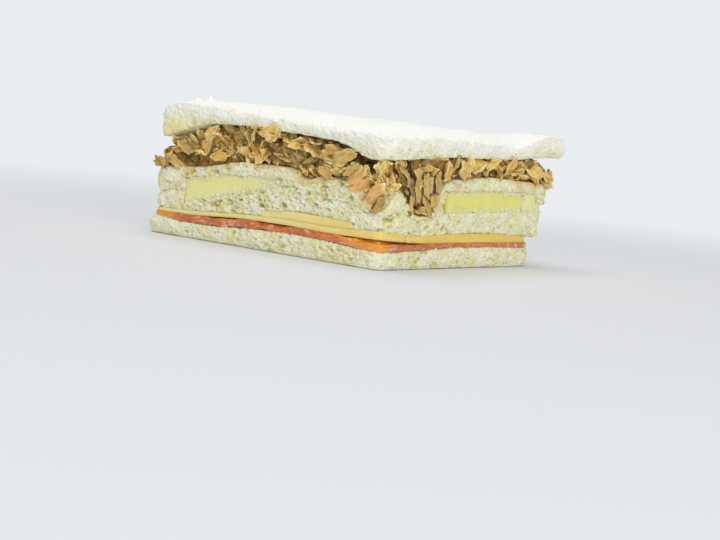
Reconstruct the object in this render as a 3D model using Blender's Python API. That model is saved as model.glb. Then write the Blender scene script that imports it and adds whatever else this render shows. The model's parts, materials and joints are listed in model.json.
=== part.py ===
"""Half of a layered sandwich: crustless bread with cured ham, cheese, pineapple and tuna.

In plan the half is a right-angled triangle. Its square corner points towards -Y, the two short
faces run back from it to the left and the right end, and the long diagonal cut is the back.
A place in plan is given by u, the distance from the square corner along the left face, and v,
the distance along the right face. The levels between the layers are named heights along those
two faces, and they blend through the food.
"""

import math
import random

import bmesh
import bpy
from mathutils import Matrix, Vector, geometry, noise

MM = 0.001

# Plan of the half, with its reach along the left and the right face for each layer
LEG = 95 * MM
REACH = {
    "bread_bottom": (101 * MM, 92 * MM),
    "cured_ham": (99 * MM, 90.5 * MM),
    "cheese": (98.5 * MM, 89.5 * MM),
    "bread_lower": (97.5 * MM, 97.5 * MM),
    "bread_upper": (98 * MM, 101 * MM),
    "tuna": (100 * MM, 105 * MM),
    "bread_top": (98 * MM, 110 * MM),
}
CORNER_ROUND = 2.6 * MM
BOX_CENTRE_X = 3.0 * MM
BOX_CENTRE_Y = 39.16 * MM

# Height of each layer's top at even stations from the square corner to an end, in millimetres:
# along the left face, then along the right face
TOPS = {
    "bread_bottom": ((5.0, 6.0, 6.5, 5.6, 4.7, 5.6), (5.0, 5.5, 6.4, 6.6, 6.4, 6.3)),
    "cured_ham": ((8.8, 8.5, 8.9, 8.7, 7.5, 7.3), (8.8, 7.8, 7.9, 8.0, 8.0, 8.0)),
    "cheese": ((11.3, 10.6, 10.8, 10.1, 8.9, 8.3), (11.3, 10.1, 10.7, 11.0, 10.4, 9.8)),
    "bread_lower": ((17.5, 18.6, 21.2, 19.2, 16.2, 14.0), (17.5, 19.5, 21.2, 21.8, 22.0, 21.5)),
    "bread_upper": ((24.0, 25.2, 26.4, 26.6, 23.5, 22.1), (24.0, 26.5, 27.9, 29.3, 29.1, 28.3)),
    "tuna": ((32.8, 36.5, 37.7, 38.5, 37.2, 31.8), (32.8, 33.9, 35.2, 35.5, 36.2, 38.0)),
    "bread_top": ((42.6, 44.2, 45.0, 45.8, 47.2, 44.2), (42.6, 43.6, 44.1, 44.0, 43.8, 45.6)),
}
# Rise of each level at the middle of the diagonal face, where the filling is deepest
BELLY = {
    "cured_ham": 0.5 * MM,
    "cheese": 0.7 * MM,
    "bread_lower": 0.9 * MM,
    "bread_upper": 0.4 * MM,
    "tuna": 0.6 * MM,
    "bread_top": -1.0 * MM,
}
# Hollows that the tuna presses into the bread: layer, u, v, reach along u and v, depth
HOLLOWS = (
    ("bread_upper", 0 * MM, 20 * MM, 8.5 * MM, 9.5 * MM, 10.4 * MM),
    ("bread_lower", 0 * MM, 20 * MM, 9.0 * MM, 10.0 * MM, 4.6 * MM),
    ("bread_upper", 1.5 * MM, 0 * MM, 6.0 * MM, 4.0 * MM, 6.8 * MM),
    ("bread_lower", 1.5 * MM, 0 * MM, 6.5 * MM, 4.5 * MM, 1.6 * MM),
    ("bread_upper", 31 * MM, 0 * MM, 5.0 * MM, 5.5 * MM, 2.4 * MM),
    ("tuna", 8 * MM, 0 * MM, 7.0 * MM, 9.0 * MM, 1.4 * MM),
)
HOLLOW_SQUARENESS = 1.7

# Clearances
GAP = 0.3 * MM
TUNA_CLEARANCE = 0.8 * MM

# Spacing of the points of the solids
FACE_STEP = 3.9 * MM
SLICE_STEP = 5.2 * MM
INNER_STEP = 10.5 * MM
HOLLOW_STEP = 2.9 * MM
HOLLOW_SPREAD = 2
LATTICE_REACH = 1.2
EDGE_CLEARANCE = 0.45
CUT_MERGE = 1.3 * MM

# Bread: rows up the cut face, swell of the face and its torn relief
CRUMB_ROWS = 4
CRUMB_SWELL = 0.5 * MM
CRUMB_RELIEF = 0.88 * MM
CRUMB_GRAIN = 4.2 * MM
CRUMB_SHIFT = 7.3
SHOULDER_DROP = 3.6 * MM
SHOULDER_REACH = 4.2 * MM
SHOULDER_INSETS = (2.2 * MM, 6 * MM)
SHOULDER_STEP = 5.46 * MM
BLUNT_DROP = 0.3 * MM
BLUNT_FROM = 76 * MM
TOP_RIPPLE = 0.7 * MM
TOP_RIPPLE_LENGTH = 16 * MM

# Cheese and ham
SLICE_ROWS = 2
SLICE_GRAIN = 12.6 * MM
HAM_SWELL = 0.4 * MM
CHEESE_SWELL = 0.25 * MM
SEAM_V = 13 * MM
SEAM_SLANT = 0.22
SEAM_GAP = 0.6 * MM
SLICE_THICK = 2.3 * MM
UPPER_SLICE_U = (11 * MM, 47 * MM)
UPPER_SLICE_DEPTH = 36 * MM
UPPER_SLICE_OVERHANG = 0.3 * MM
UPPER_SLICE_BEND = 0.8 * MM
UPPER_SLICE_BEND_REACH = 6 * MM

# How far the rooms for fruit and cheese run past the side and into the layer below
ROOM_OVERRUN = 4 * MM
ROOM_SINK = 1.2 * MM

# Pineapple: span along the face, depth into the food and heights at both ends of the span
FRUIT = {
    "pineapple_left": {
        "face": "left",
        "span": (41 * MM, 81 * MM),
        "depth": 29 * MM,
        "bottom": (20.4 * MM, 11.2 * MM),
        "top": (22.4 * MM, 19.3 * MM),
        "crown": 1.5 * MM,
    },
    "pineapple_right": {
        "face": "right",
        "span": (32 * MM, 80 * MM),
        "depth": 37 * MM,
        "bottom": (17.4 * MM, 18.8 * MM),
        "top": (24.3 * MM, 25.4 * MM),
        "crown": 0.2 * MM,
    },
    "pineapple_end": {
        "face": "right",
        "span": (81 * MM, 89.5 * MM),
        "depth": 8 * MM,
        "bottom": (18.9 * MM, 18.7 * MM),
        "top": (25.2 * MM, 24.6 * MM),
        "crown": 0.1 * MM,
    },
}
FRUIT_DIAGONAL = 97.2 * MM
FRUIT_RECESS = 0.2 * MM
FRUIT_SOFTNESS = 0.2 * MM
FRUIT_SOFTEST = 0.4
FRUIT_END_DEPTH = 0.8
FRUIT_STEP = 6 * MM
FRUIT_COLUMNS_LEAST = 3
FRUIT_DEPTH_ROWS = 3
FRUIT_HEIGHT_ROWS = 3

# Tuna: its core and the flakes fused on it
TUNA_INSET = 2.2 * MM
TUNA_STEP = 3.6 * MM
TUNA_ROWS = 3
TUNA_RELIEF = 1.3 * MM
TUNA_GRAIN = 5 * MM
TUNA_END_FALL_LEFT = (77 * MM, 0.46)
TUNA_END_FALL_RIGHT = (88 * MM, 0.7)
FLAKE_SPACING = 5.4 * MM
FLAKE_LENGTH = (7 * MM, 13 * MM)
FLAKE_WIDTH = (3.0 * MM, 5.6 * MM)
FLAKE_THICK = (1.6 * MM, 2.8 * MM)
FLAKE_SIDES = 5
FLAKE_RINGS = ((-0.38, 0.75), (0.0, 1.0), (0.38, 0.7))
FLAKE_BEND = (-0.12, 0.2)
FLAKE_BEND_START = 0.1
FLAKE_TIP_BEND = 0.15
FLAKE_TWIST = 0.3
FLAKE_RAGS = (0.8, 1.15)
FLAKE_GIVE = 0.25 * MM
FLAKE_GIVE_REACH = 3 * MM
FLAKE_FOOT = 1.2 * MM
FLAKE_SEED = 12

# Where the flakes sit: line of their feet, height of one row, places in it, tilt, poke and depth
FLAKE_LINE = 1.65 * MM
FLAKE_ROW_HEIGHT = 8 * MM
FLAKE_ROW_SPREAD = 0.4
FLAKE_PLACES = (0.15, 0.85)
FLAKE_HEIGHTS = (0.12, 0.88)
FLAKE_TILT = (0.25, 0.7)
FLAKE_POKE = 0.35
FLAKE_DEPTH = (-0.8 * MM, 1.0 * MM)

# Photo colours, as sRGB
COLOURS = {
    "bread": (0.93, 0.94, 0.86),
    "cured_ham": (0.80, 0.42, 0.30),
    "cheese": (0.91, 0.84, 0.48),
    "pineapple": (0.86, 0.86, 0.46),
    "tuna": (0.72, 0.57, 0.36),
}
# Roughness and share of light that the food lets in
SURFACE = {
    "bread": (0.9, 0.2),
    "cured_ham": (0.4, 0.2),
    "cheese": (0.35, 0.2),
    "pineapple": (0.25, 0.3),
    "tuna": (0.6, 0.1),
}

CLOSEST = 1e-9
HOLLOWED = ("bread_lower", "bread_upper", "tuna", "bread_top")


def clear_scene():
    for thing in list(bpy.data.objects):
        bpy.data.objects.remove(thing, do_unlink=True)


def linear(colour):
    """sRGB colour as the linear values that a shader takes."""
    return [c / 12.92 if c < 0.04045 else ((c + 0.055) / 1.055) ** 2.4 for c in colour]


def finish(name):
    """Principled material of one kind of food."""
    roughness, subsurface = SURFACE[name]
    material = bpy.data.materials.new(name)
    material.use_nodes = True
    shader = material.node_tree.nodes["Principled BSDF"]
    shader.inputs["Base Color"].default_value = linear(COLOURS[name]) + [1]
    shader.inputs["Roughness"].default_value = roughness
    shader.inputs["Metallic"].default_value = 0
    shader.inputs["Subsurface Weight"].default_value = subsurface
    return material


def blend(a, b, share):
    return a + (b - a) * share


def along(row, distance):
    """Smooth height on a row of even stations, held level past both ends."""
    last = len(row) - 1
    place = min(max(distance / LEG * last, 0), last - 1e-6)
    station = int(place)
    f = place - station
    a, b, c, d = (row[min(max(station + k, 0), last)] for k in (-1, 0, 1, 2))
    curve = b + f / 2 * (c - a + f * (2 * a - 5 * b + 4 * c - d + f * (3 * (b - c) + d - a)))
    return curve * MM


def level(layer, u, v):
    """Height of a layer's top at a place in plan."""
    reach = max(u + v, 1e-6)
    share = min(max(v / reach, 0), 1)
    left, right = TOPS[layer]
    height = blend(along(left, reach), along(right, reach), share)
    height += BELLY.get(layer, 0) * math.sin(math.pi * share) * min(reach / LEG, 1) ** 2
    for name, hollow_u, hollow_v, reach_u, reach_v, depth in HOLLOWS:
        if name == layer:
            far = ((u - hollow_u) / reach_u) ** 2 + ((v - hollow_v) / reach_v) ** 2
            height -= depth * math.exp(-(far**HOLLOW_SQUARENESS))
    return height


def tuna_level(u, v):
    """Top of the tuna, which falls away from the bread at both ends."""
    start_left, fall_left = TUNA_END_FALL_LEFT
    start_right, fall_right = TUNA_END_FALL_RIGHT
    height = level("tuna", u, v)
    if u > start_left:
        height = min(height, level("tuna", start_left, v) - fall_left * (u - start_left))
    if v > start_right:
        height = min(height, level("tuna", u, start_right) - fall_right * (v - start_right))
    return height


def place(u, v, z):
    """World point of a place in plan and a height."""
    x = (v - u) / math.sqrt(2) - BOX_CENTRE_X
    y = (u + v) / math.sqrt(2) - BOX_CENTRE_Y
    return Vector((x, y, z))


def plan(point):
    """Place in plan of a world point."""
    x = point.x + BOX_CENTRE_X
    y = point.y + BOX_CENTRE_Y
    return (y - x) / math.sqrt(2), (y + x) / math.sqrt(2)


def half_outline(reach, inset, step):
    """Rounded triangle of a layer in plan, drawn inwards by the inset."""
    left, right = reach
    steepness = math.hypot(1 / left, 1 / right)
    share = 1 - inset * steepness
    corners = [
        Vector((inset, inset)),
        Vector((inset, right * (share - inset / left))),
        Vector((left * (share - inset / right), inset)),
    ]
    outline = []
    for i, corner in enumerate(corners):
        to_last = (corners[i - 1] - corner).normalized()
        to_next = (corners[(i + 1) % 3] - corner).normalized()
        half_angle = to_last.angle(to_next) / 2
        centre = corner + (to_last + to_next).normalized() * (CORNER_ROUND / math.sin(half_angle))
        touch = CORNER_ROUND / math.tan(half_angle)
        start = corner + to_last * touch - centre
        turn = math.pi - 2 * half_angle
        pieces = max(2, round(turn * CORNER_ROUND / step))
        for k in range(pieces + 1):
            outline.append(centre + Matrix.Rotation(-turn * k / pieces, 2) @ start)
        end = corners[(i + 1) % 3]
        half_end = (-to_next).angle((corners[(i + 2) % 3] - end).normalized()) / 2
        run_start = corner + to_next * touch
        run_end = end - to_next * (CORNER_ROUND / math.tan(half_end))
        count = max(1, round((run_end - run_start).length / step))
        for k in range(1, count):
            outline.append(run_start.lerp(run_end, k / count))
    return outline


def side_of_seam(point, offset):
    """How far a place in plan lies on the right of the seam between two cheese slices."""
    return point.y - SEAM_V - SEAM_SLANT * point.x - offset


def cut_at_seam(outline, offset, keep_right):
    """The part of an outline on one side of the seam, with points along the cut."""
    sign = 1 if keep_right else -1
    kept = []
    for i, point in enumerate(outline):
        last = outline[i - 1]
        far = sign * side_of_seam(point, offset)
        last_far = sign * side_of_seam(last, offset)
        if far * last_far < 0:
            kept.append(last.lerp(point, last_far / (last_far - far)))
        if far > 0:
            kept.append(point)
    merged = [p for i, p in enumerate(kept) if (p - kept[i - 1]).length > CUT_MERGE]
    filled = []
    for i, point in enumerate(merged):
        last = merged[i - 1]
        count = max(1, round((point - last).length / SLICE_STEP))
        filled += [last.lerp(point, k / count) for k in range(1, count)]
        filled.append(point)
    return filled


def in_hollow(point):
    """Whether a place in plan is in or near a pressed hollow, where levels change quickly."""
    for _, hollow_u, hollow_v, reach_u, reach_v, _ in HOLLOWS:
        if math.hypot((point.x - hollow_u) / reach_u, (point.y - hollow_v) / reach_v) < HOLLOW_SPREAD:
            return True
    return False


def inner_points(outline, step, hollowed):
    """Places inside an outline, clear of its edge, on a lattice that is finer at any hollows.

    Every layer reads the same lattice, so that neighbours follow each other closely.
    """
    points = []
    for pitch, wanted in ((step, False), (HOLLOW_STEP, True)):
        row_step = pitch * math.sqrt(3) / 2
        for j in range(int(LEG * LATTICE_REACH / row_step)):
            for i in range(int(LEG * LATTICE_REACH / pitch)):
                point = Vector(((i + j % 2 / 2) * pitch, j * row_step))
                if (hollowed and in_hollow(point)) != wanted or not is_inside(point, outline):
                    continue
                ends = zip(outline, outline[1:] + outline[:1])
                if min(distance_to_run(point, a, b) for a, b in ends) > pitch * EDGE_CLEARANCE:
                    points.append(point)
    return points


def distance_to_run(point, a, b):
    run = b - a
    share = min(max((point - a).dot(run) / run.dot(run), 0), 1)
    return (point - a - run * share).length


def is_inside(point, outline):
    inside = False
    for a, b in zip(outline, outline[1:] + outline[:1]):
        if (a.y > point.y) != (b.y > point.y):
            if point.x < a.x + (point.y - a.y) / (b.y - a.y) * (b.x - a.x):
                inside = not inside
    return inside


def outward(outline, i):
    """Unit direction out of an outline that runs from the corner to the right end first."""
    run = outline[(i + 1) % len(outline)] - outline[i - 1]
    return Vector((-run.y, run.x)).normalized()


def new_object(name, mesh_source, material):
    """Object from a bmesh, with its faces turned outwards."""
    bmesh.ops.recalc_face_normals(mesh_source, faces=mesh_source.faces)
    mesh = bpy.data.meshes.new(name)
    mesh_source.to_mesh(mesh)
    mesh_source.free()
    mesh.materials.append(material)
    made = bpy.data.objects.new(name, mesh)
    bpy.context.scene.collection.objects.link(made)
    return made


def sheet(name, outline, rings, floor, ceiling, rows, offset, material):
    """Closed solid between two height functions, with rows of points up its cut side.

    The offset function gives how far a side point stands out at a place and a height.
    """
    points = list(outline)
    for ring in rings:
        points += ring
    points += inner_points(rings[-1] if rings else outline, INNER_STEP, name in HOLLOWED)
    borders = [list(range(len(outline)))]
    corners, _, faces, origins, _, _ = geometry.delaunay_2d_cdt(points, [], borders, 1, CLOSEST)
    source = bmesh.new()
    below = [None] * len(points)
    above = [None] * len(points)
    for corner, origin in zip(corners, origins):
        below[origin[0]] = source.verts.new(place(corner.x, corner.y, floor(corner.x, corner.y)))
        above[origin[0]] = source.verts.new(place(corner.x, corner.y, ceiling(corner.x, corner.y)))
    for face in faces:
        a, b, c = (origins[k][0] for k in face)
        source.faces.new((above[a], above[b], above[c]))
        source.faces.new((below[c], below[b], below[a]))
    count = len(outline)
    columns = []
    for i, point in enumerate(outline):
        low = floor(point.x, point.y)
        high = ceiling(point.x, point.y)
        column = [below[i]]
        for row in range(1, rows):
            share = row / rows
            height = blend(low, high, share)
            out = outward(outline, i) * offset(point, height, share)
            column.append(source.verts.new(place(point.x + out.x, point.y + out.y, height)))
        columns.append(column + [above[i]])
    for i in range(count):
        near = columns[i]
        far = columns[(i + 1) % count]
        for row in range(rows):
            source.faces.new((near[row], far[row], far[row + 1], near[row + 1]))
    bmesh.ops.triangulate(source, faces=[face for face in source.faces if len(face.verts) > 3])
    return new_object(name, source, material)


def torn(seed):
    """Relief of a torn crumb face: a soft swell with small hollows and rags."""

    def offset(point, height, share):
        spot = Vector((point.x, point.y, height)) / CRUMB_GRAIN + Vector((0, 0, seed * CRUMB_SHIFT))
        return CRUMB_SWELL * math.sin(math.pi * share) + CRUMB_RELIEF * noise.noise(spot)

    return offset


def soft_edge(swell):
    """Relief of a thin slice's cut edge: a slight wave."""

    def offset(point, height, share):
        spot = Vector((point.x, point.y, height)) / SLICE_GRAIN
        return swell * (1 + noise.noise(spot))

    return offset


def above_layer(layer):
    return lambda u, v: level(layer, u, v) + GAP


def top_of(layer):
    return lambda u, v: level(layer, u, v)


def edge_distance(reach, u, v):
    """Distance of a place from the nearest side of a layer."""
    left, right = reach
    diagonal = (1 - u / left - v / right) / math.hypot(1 / left, 1 / right)
    return max(min(u, v, diagonal), 0)


def crown(u, v):
    """Top of the uppermost slice, rounded down towards its cut edges but not at its two ends."""
    near = math.exp(-edge_distance(REACH["bread_top"], u, v) / SHOULDER_REACH)
    end = min(max((max(u, v) - BLUNT_FROM) / (LEG - BLUNT_FROM), 0), 1)
    ripple = noise.noise(Vector((u, v, 0)) / TOP_RIPPLE_LENGTH) * TOP_RIPPLE
    return level("bread_top", u, v) + ripple - blend(SHOULDER_DROP, BLUNT_DROP, end) * near


def make_breads(material):
    """The four slices of bread, from the one that lies on the table up."""
    floors = {
        "bread_bottom": lambda u, v: 0,
        "bread_lower": above_layer("cheese"),
        "bread_upper": above_layer("bread_lower"),
        "bread_top": above_layer("tuna"),
    }
    slices = {}
    for seed, (name, floor) in enumerate(floors.items()):
        outline = half_outline(REACH[name], 0, FACE_STEP)
        rings = []
        ceiling = top_of(name)
        if name == "bread_top":
            rings = [half_outline(REACH[name], inset, SHOULDER_STEP) for inset in SHOULDER_INSETS]
            ceiling = crown
        slices[name] = sheet(name, outline, rings, floor, ceiling, CRUMB_ROWS, torn(seed), material)
    return slices


def make_ham(material):
    outline = half_outline(REACH["cured_ham"], 0, SLICE_STEP)
    floor = above_layer("bread_bottom")
    edge = soft_edge(HAM_SWELL)
    return sheet("cured_ham", outline, [], floor, top_of("cured_ham"), SLICE_ROWS, edge, material)


def make_cheese(material):
    """Two slices side by side on the ham, and a third on the seam's left."""
    outline = half_outline(REACH["cheese"], 0, SLICE_STEP)
    floor = above_layer("cured_ham")
    edge = soft_edge(CHEESE_SWELL)
    for name, offset, keep_right in (("cheese_left", -SEAM_GAP, False), ("cheese_right", SEAM_GAP, True)):
        part = cut_at_seam(outline, offset, keep_right)
        sheet(name, part, [], floor, top_of("cheese"), SLICE_ROWS, edge, material)
    return upper_slice("cheese_middle", 0, material)


def upper_slice(name, allowance, material):
    """Third slice of cheese, or with an allowance the room for it in the bread above."""
    start, end = UPPER_SLICE_U
    low_u = start - allowance
    high_u = end + allowance
    low_v = -ROOM_OVERRUN if allowance else -UPPER_SLICE_OVERHANG
    high_v = UPPER_SLICE_DEPTH + allowance
    columns = round((high_u - low_u) / FACE_STEP)
    depth_rows = round((high_v - low_v) / FACE_STEP)
    outline = [Vector((low_u, blend(low_v, high_v, k / depth_rows))) for k in range(depth_rows)]
    outline += [Vector((blend(low_u, high_u, k / columns), high_v)) for k in range(columns)]
    outline += [Vector((high_u, blend(high_v, low_v, k / depth_rows))) for k in range(depth_rows)]
    outline += [Vector((blend(high_u, low_u, k / columns), low_v)) for k in range(columns)]

    def floor(u, v):
        rise = -ROOM_SINK if allowance else GAP
        return level("cheese", max(u, 0), max(v, 0)) + rise

    def ceiling(u, v):
        bent = UPPER_SLICE_BEND * math.exp(-((end - u) / UPPER_SLICE_BEND_REACH) ** 2)
        return level("cheese", max(u, 0), max(v, 0)) + GAP + SLICE_THICK - bent + allowance

    return sheet(name, outline, [], floor, ceiling, 1, None, material)


def fruit_piece(name, allowance, material):
    """Slab of pineapple, or with an allowance the room for it in the bread.

    Its plan is a stretch of a ring: the inner side curves. Every wall is slightly soft.
    """
    size = FRUIT[name]
    start, end = size["span"]
    start -= allowance
    end += allowance
    face = -ROOM_OVERRUN if allowance else FRUIT_RECESS
    columns = max(FRUIT_COLUMNS_LEAST, round((end - start) / FRUIT_STEP))
    deep = FRUIT_DEPTH_ROWS
    rings = FRUIT_HEIGHT_ROWS
    source = bmesh.new()
    grid = {}
    for i in range(columns + 1):
        share = i / columns
        distance = blend(start, end, share)
        hump = math.sin(math.pi * share)
        low = blend(size["bottom"][0], size["bottom"][1], share) - allowance
        high = blend(size["top"][0], size["top"][1], share) + size["crown"] * hump + allowance
        reach = size["depth"] * blend(FRUIT_END_DEPTH, 1, hump) + allowance
        reach = min(reach, FRUIT_DIAGONAL - distance + (ROOM_OVERRUN if allowance else 0))
        for j in range(deep + 1):
            inward = blend(face, reach, j / deep)
            for k in range(rings + 1):
                rise = k / rings
                edge = (i in (0, columns)) + (j in (0, deep) and allowance == 0)
                soft = FRUIT_SOFTNESS * edge if k in (0, rings) and allowance == 0 else 0
                middle = (low + high) / 2
                height = blend(low, high, rise)
                height += math.copysign(min(soft, abs(height - middle) * FRUIT_SOFTEST), middle - height)
                u, v = (distance, inward) if size["face"] == "left" else (inward, distance)
                grid[i, j, k] = source.verts.new(place(u, v, height))
    for i in range(columns + 1):
        for j in range(deep + 1):
            for k in range(rings + 1):
                for a, b in (((1, 0, 0), (0, 1, 0)), ((0, 1, 0), (0, 0, 1)), ((0, 0, 1), (1, 0, 0))):
                    fixed = [n for n in range(3) if a[n] + b[n] == 0][0]
                    if (i, j, k)[fixed] not in (0, (columns, deep, rings)[fixed]):
                        continue
                    spots = [
                        (i, j, k),
                        (i + a[0], j + a[1], k + a[2]),
                        (i + a[0] + b[0], j + a[1] + b[1], k + a[2] + b[2]),
                        (i + b[0], j + b[1], k + b[2]),
                    ]
                    if all(spot in grid for spot in spots):
                        source.faces.new([grid[spot] for spot in spots])
    loose = [vert for vert in source.verts if not vert.link_faces]
    bmesh.ops.delete(source, geom=loose, context="VERTS")
    bmesh.ops.triangulate(source, faces=source.faces)
    return new_object(name, source, material)


def cut_out(target, cutter):
    """Takes a hidden cutter out of a target."""
    cutter.hide_render = True
    cutter.display_type = "WIRE"
    cut = target.modifiers.new(cutter.name, "BOOLEAN")
    cut.operation = "DIFFERENCE"
    cut.object = cutter


def flake(centre, lengthwise, outwards, length, width, thick, draw):
    """One flake of tuna: a short ragged lath, six-sided and bent."""
    across = outwards.cross(lengthwise).normalized()
    normal = lengthwise.cross(across).normalized()
    bend = draw.uniform(*FLAKE_BEND) * length
    source = bmesh.new()
    rings = []
    for share, size in FLAKE_RINGS:
        rise = bend * (share * share - FLAKE_BEND_START)
        middle = centre + lengthwise * (share * length) + normal * rise
        twist = draw.uniform(-FLAKE_TWIST, FLAKE_TWIST)
        ring = []
        for k in range(FLAKE_SIDES):
            angle = 2 * math.pi * k / FLAKE_SIDES + twist
            ragged = size * draw.uniform(*FLAKE_RAGS)
            side = across * (math.cos(angle) * width / 2 * ragged)
            up = normal * (math.sin(angle) * thick / 2 * ragged)
            ring.append(middle + side + up)
        rings.append(ring)
    rise = normal * (bend * FLAKE_TIP_BEND)
    tips = [centre + lengthwise * (end * length / 2) + rise for end in (-1, 1)]
    verts = [[source.verts.new(within_tuna(point)) for point in ring] for ring in rings]
    first, last = (source.verts.new(within_tuna(tip)) for tip in tips)
    for k in range(FLAKE_SIDES):
        n = (k + 1) % FLAKE_SIDES
        source.faces.new((first, verts[0][n], verts[0][k]))
        source.faces.new((last, verts[-1][k], verts[-1][n]))
        for a, b in zip(verts, verts[1:]):
            source.faces.new((a[k], a[n], b[n]))
            source.faces.new((a[k], b[n], b[k]))
    return source


def bed(u, v):
    """Highest level of the bread under the tuna close to a place, so that no flake cuts a slope."""
    near = ((0, 0), (FLAKE_FOOT, 0), (-FLAKE_FOOT, 0), (0, FLAKE_FOOT), (0, -FLAKE_FOOT))
    return max(level("bread_upper", max(u + du, 0), max(v + dv, 0)) for du, dv in near)


def within_tuna(point):
    """The point, kept clear of the bread below and above the tuna."""
    u, v = plan(point)
    u = max(u, 0)
    v = max(v, 0)
    low = bed(u, v) + TUNA_CLEARANCE + FLAKE_GIVE
    high = min(level("tuna", u, v) - TUNA_CLEARANCE, tuna_level(u, v) + FLAKE_THICK[0] / 2)
    height = point.z
    if height < low:
        height = low - FLAKE_GIVE * math.tanh((low - height) / FLAKE_GIVE_REACH)
    if height > high:
        height = high + FLAKE_GIVE * math.tanh((height - high) / FLAKE_GIVE_REACH)
    return Vector((point.x, point.y, height))


def make_flakes(material):
    """Flakes set round the side of the tuna, laid mostly along it."""
    draw = random.Random(FLAKE_SEED)
    group = bpy.data.collections.new("tuna_flakes")
    outline = half_outline(REACH["tuna"], FLAKE_LINE, FLAKE_SPACING)
    for i, point in enumerate(outline):
        out = outward(outline, i)
        outwards = (place(point.x + out.x, point.y + out.y, 0) - place(point.x, point.y, 0)).normalized()
        tangent = Vector((0, 0, 1)).cross(outwards)
        low = level("bread_upper", point.x, point.y) + TUNA_CLEARANCE
        high = tuna_level(point.x, point.y)
        spread = draw.uniform(-FLAKE_ROW_SPREAD, FLAKE_ROW_SPREAD)
        count = max(1, round((high - low) / FLAKE_ROW_HEIGHT + spread))
        for k in range(count):
            share = (k + draw.uniform(*FLAKE_PLACES)) / count
            height = blend(low, high, min(max(share, FLAKE_HEIGHTS[0]), FLAKE_HEIGHTS[1]))
            tilt = draw.gauss(*FLAKE_TILT)
            poke = draw.gauss(0, FLAKE_POKE)
            lengthwise = tangent * math.cos(tilt) + Vector((0, 0, 1)) * math.sin(tilt) + outwards * poke
            centre = place(point.x, point.y, height) + outwards * draw.uniform(*FLAKE_DEPTH)
            length = draw.uniform(*FLAKE_LENGTH)
            width = draw.uniform(*FLAKE_WIDTH)
            thick = draw.uniform(*FLAKE_THICK)
            source = flake(centre, lengthwise.normalized(), outwards, length, width, thick, draw)
            made = new_object(f"flake_{i}_{k}", source, material)
            bpy.context.scene.collection.objects.unlink(made)
            group.objects.link(made)
    return group


def keep_largest_shell(made):
    """Drops loose scraps and fills hollows that fusing sealed, by keeping one shell."""
    source = bmesh.new()
    source.from_mesh(made.data)
    left = set(source.verts)
    shells = []
    while left:
        shell = set()
        queue = [left.pop()]
        while queue:
            vert = queue.pop()
            shell.add(vert)
            for edge in vert.link_edges:
                other = edge.other_vert(vert)
                if other in left:
                    left.discard(other)
                    queue.append(other)
        shells.append(shell)
    shells.sort(key=len, reverse=True)
    extra = [vert for shell in shells[1:] for vert in shell]
    bmesh.ops.delete(source, geom=extra, context="VERTS")
    source.to_mesh(made.data)
    source.free()


def make_tuna(material):
    """Heap of flaked tuna: a ragged core with the flakes that show fused on."""
    outline = half_outline(REACH["tuna"], TUNA_INSET, TUNA_STEP)

    def floor(u, v):
        return level("bread_upper", u, v) + TUNA_CLEARANCE

    def ceiling(u, v):
        return tuna_level(u, v) - TUNA_CLEARANCE

    def offset(point, height, share):
        spot = Vector((point.x, point.y, height)) / TUNA_GRAIN
        return TUNA_RELIEF * noise.noise(spot)

    core = sheet("tuna", outline, [], floor, ceiling, TUNA_ROWS, offset, material)
    group = make_flakes(material)
    fuse = core.modifiers.new("fuse", "BOOLEAN")
    fuse.operation = "UNION"
    fuse.solver = "MANIFOLD"
    fuse.operand_type = "COLLECTION"
    fuse.collection = group
    with bpy.context.temp_override(object=core, active_object=core):
        bpy.ops.object.modifier_apply(modifier=fuse.name)
    for made in list(group.objects):
        bpy.data.objects.remove(made, do_unlink=True)
    bpy.data.collections.remove(group)
    keep_largest_shell(core)
    return core


def make_fruit(material, breads):
    """Pieces of pineapple, bedded in the two slices that close over them."""
    for name in FRUIT:
        fruit_piece(name, 0, material)
        room = fruit_piece(name, GAP, material)
        room.name = f"{name}_room"
        cut_out(breads["bread_lower"], room)
        cut_out(breads["bread_upper"], room)


def build():
    clear_scene()
    breads = make_breads(finish("bread"))
    make_ham(finish("cured_ham"))
    cheese = finish("cheese")
    make_cheese(cheese)
    room = upper_slice("cheese_middle_room", GAP, cheese)
    cut_out(breads["bread_lower"], room)
    make_fruit(finish("pineapple"), breads)
    make_tuna(finish("tuna"))


build()
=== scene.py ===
"""Looks of the half sandwich: torn crumb, flaked tuna, pineapple, cheese and cured ham."""

import json
import math

import bmesh
import bpy
import numpy as np
from mathutils import Matrix, Vector
from mathutils.kdtree import KDTree

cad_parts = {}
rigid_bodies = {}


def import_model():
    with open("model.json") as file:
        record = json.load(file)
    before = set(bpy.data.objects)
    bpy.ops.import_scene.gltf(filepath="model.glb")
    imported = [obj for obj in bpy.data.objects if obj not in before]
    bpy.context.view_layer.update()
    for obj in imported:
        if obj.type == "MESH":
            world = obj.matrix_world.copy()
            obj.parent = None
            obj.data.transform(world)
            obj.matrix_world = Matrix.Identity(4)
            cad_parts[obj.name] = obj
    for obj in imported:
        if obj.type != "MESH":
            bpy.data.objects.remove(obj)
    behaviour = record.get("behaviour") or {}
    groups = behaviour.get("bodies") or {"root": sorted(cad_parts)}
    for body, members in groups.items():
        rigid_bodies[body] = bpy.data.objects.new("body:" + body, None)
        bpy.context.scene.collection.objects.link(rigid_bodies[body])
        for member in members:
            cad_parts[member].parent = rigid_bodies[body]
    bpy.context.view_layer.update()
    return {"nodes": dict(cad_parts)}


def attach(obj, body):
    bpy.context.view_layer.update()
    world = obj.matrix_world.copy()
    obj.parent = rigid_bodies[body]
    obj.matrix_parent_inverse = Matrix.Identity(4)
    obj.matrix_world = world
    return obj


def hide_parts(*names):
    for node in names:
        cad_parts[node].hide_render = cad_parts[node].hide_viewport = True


MM = 0.001

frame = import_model()

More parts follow.
